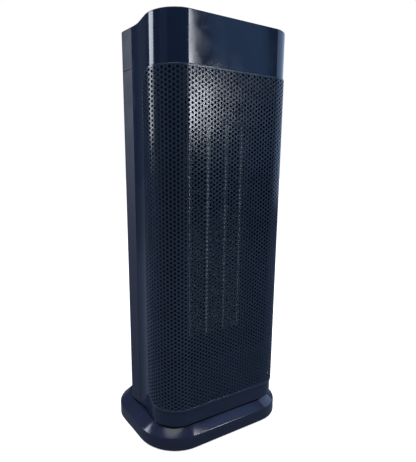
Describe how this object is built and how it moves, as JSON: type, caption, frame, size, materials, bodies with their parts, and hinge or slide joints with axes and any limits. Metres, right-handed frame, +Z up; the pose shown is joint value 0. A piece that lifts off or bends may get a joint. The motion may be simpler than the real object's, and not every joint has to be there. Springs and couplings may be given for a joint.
{
  "type": "ceramic space heater",
  "caption": "Upright ceramic tower heater: wrap-round perforated front, swivelling tower on a low oval base, rear air intake, top keys.",
  "frame": {"origin": "on the floor under the middle of the base", "axes": "+Z up along the tower and its swivel axis, front grille faces -Y, +X to the right of someone looking at the front"},
  "size_m": [0.237, 0.173, 0.56],
  "materials": {
    "shell_gloss": "gloss",
    "shell_satin": "satin",
    "base_plastic": "satin gloss",
    "key_plastic": "satin",
    "inner_plastic": "moulded",
    "heat_plastic": "moulded, heat proof",
    "switch_plastic": "moulded",
    "acetal": "smooth",
    "grille_metal": "semi-gloss",
    "galvanised": "galvanised",
    "steel": "zinc plated",
    "motor_steel": "satin",
    "aluminium": "bare",
    "brass": "sintered",
    "rubber": "matte",
    "ceramic_white": "bisque",
    "circuit_board": "solder mask",
    "smoked_window": "polished",
    "filter_mesh": "woven nylon"
  },
  "bodies": {
    "base": {"base_cover": "base_plastic", "base_plate": "inner_plastic", "rubber_feet": "rubber", "base_screws": "steel", "pivot_bush": "acetal", "glide_ring": "acetal", "tip_switch": "switch_plastic", "swing_motor": "motor_steel"},
    "tower": {"turntable": "inner_plastic", "pivot_neck": "inner_plastic", "neck_nut": "steel", "drive_arm": "steel", "front_bezel": "shell_gloss", "front_grille": "grille_metal", "rear_housing": "shell_satin", "rear_top_cap": "shell_satin", "handle_cup": "shell_satin", "tower_floor": "inner_plastic", "element_frame": "heat_plastic", "heating_bars": "aluminium", "heating_fins": "aluminium", "thermal_fuse": "ceramic_white", "thermostat": "heat_plastic", "outlet_baffle": "heat_plastic", "blower_motor": "motor_steel", "blower_plate_bottom": "galvanised", "blower_plate_top": "galvanised", "top_bearing": "brass", "bearing_mount": "rubber", "scroll_casing": "galvanised", "blower_tongue": "galvanised", "power_board": "circuit_board", "relays": "switch_plastic", "cord_gland": "rubber", "control_panel": "shell_gloss", "display_window": "smoked_window", "display_module": "switch_plastic", "tact_switches": "switch_plastic", "control_board": "circuit_board", "rear_screws": "steel", "front_liner": "heat_plastic"},
    "tip_feeler": {"tip_plunger": "acetal"},
    "crank": {"swing_crank": "acetal", "swing_motor_shaft": "steel"},
    "blower": {"blower_wheel": "inner_plastic", "blower_shaft": "steel"},
    "intake": {"intake_door": "shell_satin", "dust_filter": "filter_mesh"},
    "key_power": {"button_power": "key_plastic"},
    "key_heat": {"button_heat": "key_plastic"},
    "key_timer": {"button_timer": "key_plastic"},
    "key_swing": {"button_swing": "key_plastic"},
    "key_mode": {"button_mode": "key_plastic"}
  },
  "joints": [
    {"name": "swing", "type": "hinge", "parent": "base", "child": "tower", "pos_m": [0, 0, 0.0324], "axis": [0, 0, 1], "range_deg": [-30, 30]},
    {"name": "crank_turn", "type": "hinge", "parent": "base", "child": "crank", "pos_m": [0, 0.038, 0.018], "axis": [0, 0, 1], "range_deg": [-90, 90]},
    {"name": "tip_feel", "type": "slide", "parent": "base", "child": "tip_feeler", "axis": [0, 0, -1], "range_m": [0, 0.003], "stiffness_N_per_m": 20, "springref_m": 0.004},
    {"name": "blower_spin", "type": "hinge", "parent": "tower", "child": "blower", "pos_m": [0, 0.024, 0.3], "axis": [0, 0, 1], "continuous": true},
    {"name": "intake_pull", "type": "slide", "parent": "tower", "child": "intake", "axis": [0, 1, 0], "range_m": [0, 0.03]},
    {"name": "press_power", "type": "slide", "parent": "tower", "child": "key_power", "axis": [0, 0, -1], "range_m": [0, 0.0008], "stiffness_N_per_m": 500},
    {"name": "press_heat", "type": "slide", "parent": "tower", "child": "key_heat", "axis": [0, 0, -1], "range_m": [0, 0.0008], "stiffness_N_per_m": 500},
    {"name": "press_timer", "type": "slide", "parent": "tower", "child": "key_timer", "axis": [0, 0, -1], "range_m": [0, 0.0008], "stiffness_N_per_m": 500},
    {"name": "press_swing", "type": "slide", "parent": "tower", "child": "key_swing", "axis": [0, 0, -1], "range_m": [0, 0.0008], "stiffness_N_per_m": 500},
    {"name": "press_mode", "type": "slide", "parent": "tower", "child": "key_mode", "axis": [0, 0, -1], "range_m": [0, 0.0008], "stiffness_N_per_m": 500}
  ],
  "couplings": [
    {"joint": "crank_turn", "follows": "swing", "ratio": 3}
  ]
}
